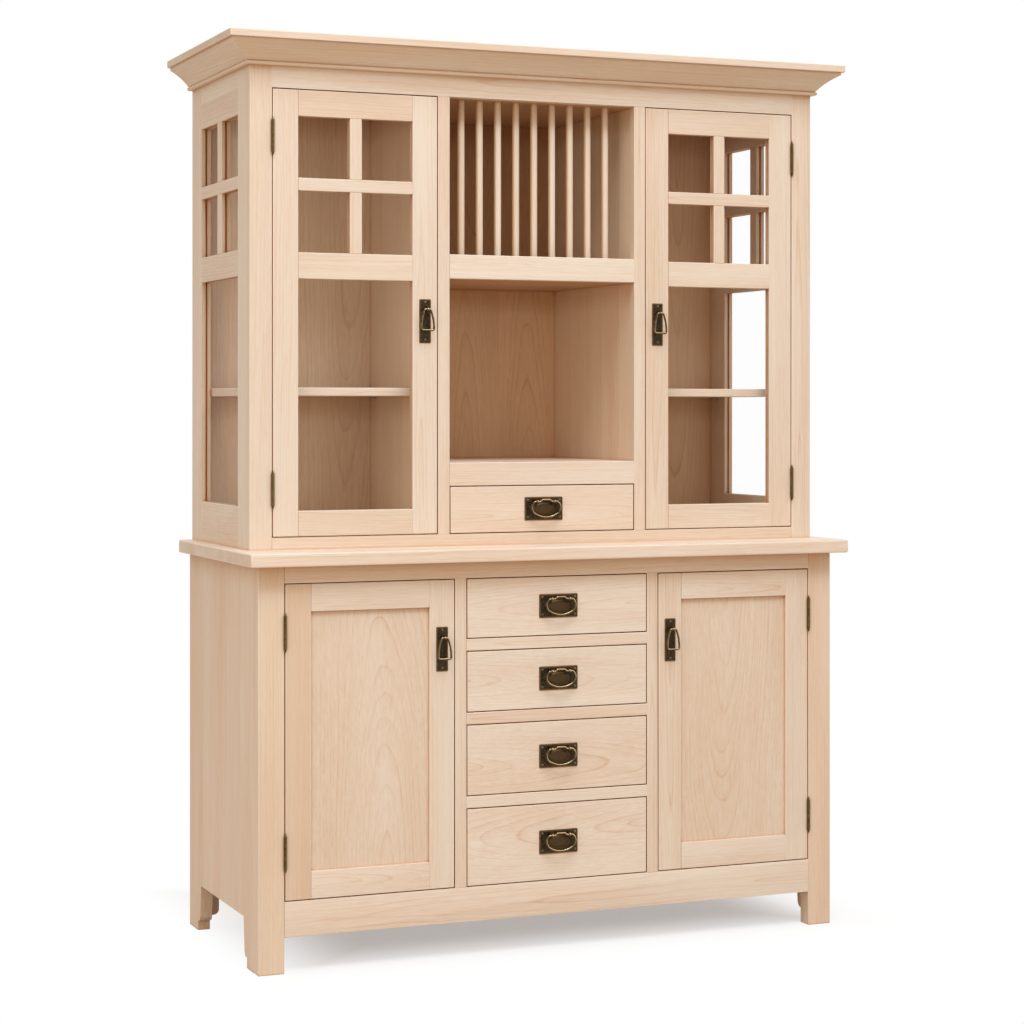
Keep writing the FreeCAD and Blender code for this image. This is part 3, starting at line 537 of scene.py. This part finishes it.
# The shelves take no painted shade under ledges.
shelf_maple = wood_finish("shelf_maple", maple_pale, maple_line, shelf_figure, under=no_ledge_shade)
boards("hutch_shelves", shelf_maple, along=sideways, stave=inner_stave)


def metal_finish(name, tone, bright, roughness, patches):
    """Metal with a patina: tone and shine change from patch to patch."""
    spread = 0.08
    material = bpy.data.materials.new(name)
    material.use_nodes = True
    tree = material.node_tree
    shader = tree.nodes["Principled BSDF"]
    shader.inputs["Metallic"].default_value = 1.0
    place = add(tree, "TexCoord").outputs["Object"]
    patch = noise(tree, place, (patches, patches, patches), detail=3.0, roughness=0.6).outputs[0]
    amount = remapped(tree, patch, 0.35, 0.65, 0.0, 1.0)
    tree.links.new(mixed(tree, "MIX", amount, tone, bright), shader.inputs["Base Color"])
    shine = remapped(tree, patch, 0.3, 0.7, roughness - spread, roughness + spread)
    tree.links.new(shine, shader.inputs["Roughness"])
    return material


def rubbed_bright(material, highlight):
    """Paint a highlight on a dark metal along the side of it that faces up, towards the front and to the
    right.
    """
    lit_side = Vector((0.40, -0.70, 0.55)).normalized()
    tree = material.node_tree
    patina = tree.nodes["Principled BSDF"].inputs["Base Color"]
    facing = {0: add(tree, "TexCoord").outputs["Normal"], 1: lit_side}
    towards = add(tree, "VectorMath", facing, operation="DOT_PRODUCT").outputs["Value"]
    amount = remapped(tree, towards, 0.68, 0.99, 0.0, 1.0)
    tree.links.new(mixed(tree, "MIX", amount, patina.links[0].from_socket, highlight), patina)


pin_dull = (0.50, 0.50, 0.51)
pin_bright = (0.60, 0.60, 0.61)
steel = metal_finish("pin_steel", pin_dull, pin_bright, roughness=0.32, patches=300.0)
finished("shelf_pins", steel)


# Plate rack
# Nine turned maple dowels, glued upright between the rack's board and the hutch's ceiling.
# Their left side is darkened brown in the finish, a painted shade.
dowel_shade_tint = (0.78, 0.61, 0.45)
dowel_figure = 0.40
dowel_maple = wood_finish("dowel_maple", maple_pale, maple_line, dowel_figure)
tree = dowel_maple.node_tree
dowel_colour = tree.nodes["Principled BSDF"].inputs["Base Color"]
# Painted shade: faces turned to the left are tinted brown.
facing = add(tree, "SeparateXYZ", {0: add(tree, "NewGeometry").outputs["Normal"]}).outputs["X"]
left_shade_mask = remapped(tree, facing, -0.95, -0.58, 1.0, 0.0)
untinted = dowel_colour.links[0].from_socket
tree.links.new(mixed(tree, "MULTIPLY", left_shade_mask, untinted, dowel_shade_tint), dowel_colour)
boards("plate_rack_dowels", dowel_maple, ease=None, figure="straight")


# Crown
# Three lengths of cove moulding, mitred at the front corners and glued to the frieze.
# A flat board with rounded edges lies over them and hides their top.
crown_round = 2 * mm
# The crown moulding takes a lighter painted shade where it is sheltered from above.
crown_ledge_shade = (0.90, 0.83, 0.75)
crown_maple = wood_finish("crown_maple", maple_pale, maple_line, maple_figure, under=crown_ledge_shade)
boards("crown_moulding", crown_maple, ease=None)
cover = block(*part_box("crown_top_board"))
boards("crown_top_board", maple, sideways, crown_round, counter_board, "flat", [cover])


# Hinges
# Solid brass butt hinges, darkened with age, with pointed tips on their pins.
hinge_dark = (0.075, 0.042, 0.014)
hinge_bright = (0.150, 0.092, 0.036)
hinge_highlight = (0.42, 0.30, 0.15)
hinge_brass = metal_finish("hinge_brass", hinge_dark, hinge_bright, roughness=0.38, patches=160.0)
# The bright side of the hinge metal, up and to the right, is a painted highlight.
rubbed_bright(hinge_brass, hinge_highlight)
finished("case_hinges", hinge_brass)


# Glazed doors
# Inset frames of maple with muntins, one tall light under four small ones.
# Doors are named by their level and side, and carry their own hinge leaves.
for side in ("left", "right"):
    door = "upper_" + side + "_door"
    boards(door + "_frame", maple)
    finished(door + "_glass", glass)
    finished(door + "_hinge_leaves", hinge_brass)


# Panelled doors
# Inset maple frames with paler rails, round one wide flat-cut panel that sits in their grooves.
# The left door's hinge stile is ruddier than the rest.
ruddy_pale = (0.755, 0.590, 0.435)
ruddy_figure = 0.60
ruddy_slot = 2
ruddy_maple = wood_finish("ruddy_maple", ruddy_pale, maple_line, ruddy_figure)
for side in ("left", "right"):
    door = "lower_" + side + "_door"
    framing = boards(door + "_frame", maple, rails=front_maple)
    boards(door + "_panel", maple, figure="flat")
    finished(door + "_hinge_leaves", hinge_brass)
    if side == "left":
        framing.data.materials.append(ruddy_maple)
        panel_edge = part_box(door + "_panel")[0].x
        for face in framing.data.polygons:
            if face.center.x < panel_edge:
                face.material_index = ruddy_slot


# Drawers
# Solid maple fronts with the grain running across, on boxes of plainer wood.
drawer_names = ["hutch_drawer"] + ["drawer_" + str(number) for number in range(1, 5)]
box_pale = (0.830, 0.680, 0.505)
box_figure = 0.35
box_wood = wood_finish("drawer_box_wood", box_pale, maple_line, box_figure)
for drawer in drawer_names:
    boards(drawer + "_front", front_maple, figure="flat")
    boards(drawer + "_box", box_wood, figure="straight")


# Pulls
# Hammered plates of dark bronze, rubbed brown at their bevelled rims, with slotted screws and a smooth oval.
# Brass with a painted highlight along one side makes the bored posts, and the rings and bails that swing in
# them.
hammer_step = 1 * mm
rim_width = 3.2 * mm
rim_drop = 1.2 * mm
plate_corner = 2.5 * mm
dent_spacing = 4.5 * mm
dent_radius = (2.6 * mm, 4.6 * mm)
dent_depth = (0.15 * mm, 0.40 * mm)
post_reach = 5 * mm
oval_reach = 10 * mm
slot_half = 0.5 * mm
slot_depth = 0.6 * mm
rim_rub = 1.6
oval_rub = 0.28
oval_roundness = 5
screw_roundness = 2
bronze_dark = (0.026, 0.018, 0.010)
bronze_bright = (0.082, 0.057, 0.031)
rubbed_brown = (0.17, 0.088, 0.033)
brass_dark = (0.060, 0.034, 0.012)
brass_bright = (0.150, 0.095, 0.038)
brass_highlight = (0.80, 0.59, 0.33)
screw_dark = (0.08, 0.062, 0.036)
screw_bright = (0.17, 0.135, 0.085)
screw_highlight = (0.32, 0.26, 0.17)


def hammered_plate(low, high, chance):
    """A plate's points, faces and rubbing: a dented front, a bevelled rim and a flat back."""
    half_x, half_z = (high.x - low.x) / 2, (high.z - low.z) / 2
    middle = (low + high) / 2
    across, up = round(2 * half_x / hammer_step), round(2 * half_z / hammer_step)
    dents = [
        (
            chance.uniform(-half_x, half_x), chance.uniform(-half_z, half_z),
            chance.uniform(*dent_radius), chance.uniform(*dent_depth),
        )
        for _ in range(round(4 * half_x * half_z / dent_spacing ** 2))
    ]
    points, rubbed = [], []
    for row in range(up + 1):
        for column in range(across + 1):
            x = (2 * column / across - 1) * half_x
            z = (2 * row / up - 1) * half_z
            inset = min(half_x - abs(x), half_z - abs(z))
            bevel = max(0.0, 1 - inset / rim_width)
            dent = sum(
                depth * max(0.0, 1 - ((x - u) ** 2 + (z - v) ** 2) / reach ** 2)
                for u, v, reach, depth in dents
            )
            past_x = max(0.0, abs(x) - half_x + plate_corner)
            past_z = max(0.0, abs(z) - half_z + plate_corner)
            corner = Vector((past_x, past_z))
            if corner.length > plate_corner:
                round_off = corner * (plate_corner / corner.length - 1)
                x += math.copysign(round_off.x, -x)
                z += math.copysign(round_off.y, -z)
            points.append((middle.x + x, low.y + bevel * rim_drop + (1 - bevel) * dent, middle.z + z))
            rubbed.append(min(1.0, rim_rub * bevel))
    faces = []
    for row in range(up):
        for column in range(across):
            first = row * (across + 1) + column
            faces.append((first, first + 1, first + across + 2, first + across + 1))
    last = up * (across + 1)
    rim = list(range(across)) + [across + row * (across + 1) for row in range(up)]
    rim += [last + column for column in range(across, 0, -1)]
    rim += [row * (across + 1) for row in range(up, 0, -1)]
    back = len(points)
    points += [(points[number][0], high.y, points[number][2]) for number in rim]
    rubbed += [1.0] * len(rim)
    for number, corner in enumerate(rim):
        after = (number + 1) % len(rim)
        faces.append((corner, back + number, back + after, rim[after]))
    faces.append(tuple(range(back + len(rim) - 1, back - 1, -1)))
    return points, faces, rubbed


def dome(low, high, roundness, slot=None):
    """A low oval dome's points and faces, with a driver's slot at an angle if one is asked for."""
    rings, spokes = 8, 40
    half_x, half_z = (high.x - low.x) / 2, (high.z - low.z) / 2
    middle = (low + high) / 2
    points = []
    for ring in range(1, rings + 1):
        for spoke in range(spokes):
            angle = 2 * math.pi * spoke / spokes
            share = ring / rings
            x, z = share * half_x * math.cos(angle), share * half_z * math.sin(angle)
            y = high.y - (high.y - low.y) * math.sqrt(1 - share ** roundness)
            if slot is not None and abs(x * math.sin(slot) - z * math.cos(slot)) < slot_half:
                y = min(high.y, y + slot_depth)
            points.append((middle.x + x, y, middle.z + z))
    points.append((middle.x, low.y + (0 if slot is None else slot_depth), middle.z))
    faces = []
    for spoke in range(spokes):
        after = (spoke + 1) % spokes
        faces.append((len(points) - 1, spoke, after))
        for ring in range(rings - 1):
            inner, outer = ring * spokes, (ring + 1) * spokes
            faces.append((inner + spoke, outer + spoke, outer + after, inner + after))
    return points, faces


def pull_plate(node):
    """A pull's plate with its oval, screws and posts, as one mesh in three metals."""
    bronze_slot, brass_slot, screw_slot = range(3)
    crease = math.radians(35)
    chance = random.Random(node)
    shells = sorted(solids_of(node), key=lambda shell: box_of(shell)[0].x - box_of(shell)[1].x)
    points, faces, rubbed, metals = [], [], [], []
    face_y = None
    for shell in shells:
        low, high = box_of(shell)
        if face_y is None:
            face_y = low.y
            some, sides, rub = hammered_plate(low, high, chance)
            metal = bronze_slot
        elif face_y - low.y > post_reach:
            place = {}
            sides = [[place.setdefault(corner, len(place)) for corner in face] for face in shell]
            sides = [side for side in sides if len(set(side)) == len(side)]
            some = list(place)
            rub = [0.0] * len(some)
            metal = brass_slot
        elif high.x - low.x > oval_reach:
            some, sides = dome(low, high, oval_roundness)
            rub = [oval_rub] * len(some)
            metal = bronze_slot
        else:
            some, sides = dome(low, high, screw_roundness, chance.uniform(0, math.pi))
            rub = [0.0] * len(some)
            metal = screw_slot
        faces += [[len(points) + number for number in side] for side in sides]
        metals += [metal] * len(sides)
        points += some
        rubbed += rub
    mesh = bpy.data.meshes.new(node + "_forged")
    mesh.from_pydata(points, [], faces)
    mesh.attributes.new("rubbed", "FLOAT", "POINT").data.foreach_set("value", rubbed)
    for finish in (bronze, brass, screw_brass):
        mesh.materials.append(finish)
    mesh.polygons.foreach_set("material_index", metals)
    mesh.shade_smooth()
    mesh.set_sharp_from_angle(angle=crease)
    piece = bpy.data.objects.new(node + "_forged", mesh)
    bpy.context.scene.collection.objects.link(piece)
    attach(piece, frame["nodes"][node]["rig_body"])
    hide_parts(node)


bronze = metal_finish("dark_bronze", bronze_dark, bronze_bright, roughness=0.45, patches=320.0)
tree = bronze.node_tree
patina = tree.nodes["Principled BSDF"].inputs["Base Color"]
rubbing = add(tree, "Attribute", attribute_name="rubbed").outputs["Fac"]
tree.links.new(mixed(tree, "MIX", rubbing, patina.links[0].from_socket, rubbed_brown), patina)
brass = metal_finish("brass_painted_highlight", brass_dark, brass_bright, roughness=0.26, patches=90.0)
# Painted highlight along the side of the brass that faces up and to the right.
rubbed_bright(brass, brass_highlight)
screw_brass = metal_finish("screw_brass", screw_dark, screw_bright, roughness=0.36, patches=300.0)
# The screws get the same painted highlight.
rubbed_bright(screw_brass, screw_highlight)
for side in ("left", "right"):
    for level in ("upper_", "lower_"):
        pull_plate(level + side + "_door_pull_plate")
        finished(level + side + "_door_ring", brass)
for drawer in drawer_names:
    pull_plate(drawer + "_pull_plate")
    finished(drawer + "_bail", brass)


# Floor, light and camera
# A white floor that keeps the piece's soft shadow near it, with white all round.
# One large lamp hangs high in front of the piece, and a weaker one stands at the left.
floor_half = 30.0
shadow_floor = 0.37
floor_bounce = (0.66, 0.58, 0.50)
shadow_inside = 0.22
shadow_outside = 0.16
shadow_left = -0.10
shadow_right = 0.05
shadow_back = 0.30


def seen_rays(tree):
    """One for rays that show the background: those of the camera, mirrored ones and refracted ones."""
    path = add(tree, "LightPath").outputs
    direct = math_node(tree, "MAXIMUM", path["Is Camera Ray"], path["Is Glossy Ray"])
    return math_node(tree, "MAXIMUM", direct, path["Is Transmission Ray"])


mesh = bpy.data.meshes.new("floor")
corners = [(x * floor_half, y * floor_half, 0) for x, y in ((-1, -1), (1, -1), (1, 1), (-1, 1))]
mesh.from_pydata(corners, [], [(0, 1, 2, 3)])
floor = bpy.data.objects.new("floor", mesh)
bpy.context.scene.collection.objects.link(floor)
material = bpy.data.materials.new("white_floor")
material.use_nodes = True
tree = material.node_tree
tree.nodes.remove(tree.nodes["Principled BSDF"])
seen = seen_rays(tree)
place = add(tree, "SeparateXYZ", {0: add(tree, "NewGeometry").outputs["Position"]}).outputs
case_low, case_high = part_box("buffet_side_panels")
front_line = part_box("buffet_front_legs")[0].y
leftwards = math_node(tree, "SUBTRACT", case_low.x - shadow_left, place["X"])
rightwards = math_node(tree, "SUBTRACT", place["X"], case_high.x + shadow_right)
forwards = math_node(tree, "SUBTRACT", front_line, place["Y"])
backwards = math_node(tree, "SUBTRACT", place["Y"], case_high.y + shadow_back)
beside = math_node(tree, "MAXIMUM", leftwards, rightwards)
away = math_node(tree, "MAXIMUM", beside, math_node(tree, "MAXIMUM", forwards, backwards))
fade = {"Value": away, "From Min": -shadow_inside, "From Max": shadow_outside}
edge = add(tree, "MapRange", fade, interpolation_type="SMOOTHSTEP").outputs[0]
far = math_node(tree, "MULTIPLY", seen, edge)
glow = add(tree, "Emission", {"Strength": math_node(tree, "MULTIPLY", seen, shadow_floor)}).outputs[0]
shown = (1.0 - shadow_floor,) * 3
matt = add(tree, "BsdfDiffuse", {"Color": mixed(tree, "MIX", seen, floor_bounce, shown)}).outputs[0]
near = add(tree, "AddShader", {0: glow, 1: matt}).outputs[0]
white = add(tree, "Emission", {"Strength": 1.0}).outputs[0]
surface = add(tree, "MixShader", {0: far, 1: near, 2: white}).outputs[0]
tree.links.new(surface, tree.nodes["Material Output"].inputs["Surface"])
mesh.materials.append(material)

ambient = 0.64
ambient_colour = (1.0, 0.90, 0.80)
world = bpy.data.worlds.new("white_studio")
world.use_nodes = True
tree = world.node_tree
seen = seen_rays(tree)
background = tree.nodes["Background"]
tree.links.new(mixed(tree, "MIX", seen, ambient_colour, (1.0, 1.0, 1.0)), background.inputs["Color"])
tree.links.new(remapped(tree, seen, 0.0, 1.0, ambient, 1.0), background.inputs["Strength"])
bpy.context.scene.world = world


def softbox(name, place, aim, size, energy, colour):
    """A large lamp that faces a point."""
    lamp = bpy.data.lights.new(name, "AREA")
    lamp.shape = "RECTANGLE"
    lamp.size, lamp.size_y = size
    lamp.energy = energy
    lamp.color = colour
    holder = bpy.data.objects.new(name, lamp)
    holder.location = place
    holder.rotation_euler = (Vector(aim) - Vector(place)).to_track_quat("-Z", "Y").to_euler()
    bpy.context.scene.collection.objects.link(holder)


cool_white = (0.93, 1.0, 1.10)
warm_white = (1.0, 0.94, 0.87)
softbox(
    "key_lamp", place=(-0.35, -3.1, 6.0), aim=(0.0, 0.0, 0.9), size=(3.4, 2.4), energy=208, colour=cool_white
)
softbox(
    "side_lamp", place=(-3.4, -3.4, 1.4), aim=(-0.3, 0.0, 1.0), size=(1.8, 1.8), energy=28, colour=warm_white
)

camera_place = (-2.107, -4.945, 1.187)
camera_turn = math.radians(21.82)
camera_level = math.radians(90)
picture_width = 1024
pixels_right = 50
pixels_down = 104
view = bpy.data.cameras.new("camera")
view.sensor_width = 36.0
view.lens = 82.3
view.shift_x = pixels_right / picture_width
view.shift_y = -pixels_down / picture_width
camera = bpy.data.objects.new("camera", view)
camera.location = camera_place
camera.rotation_euler = (camera_level, 0, -camera_turn)
bpy.context.scene.collection.objects.link(camera)
bpy.context.scene.camera = camera
bpy.context.scene.view_settings.view_transform = "Standard"
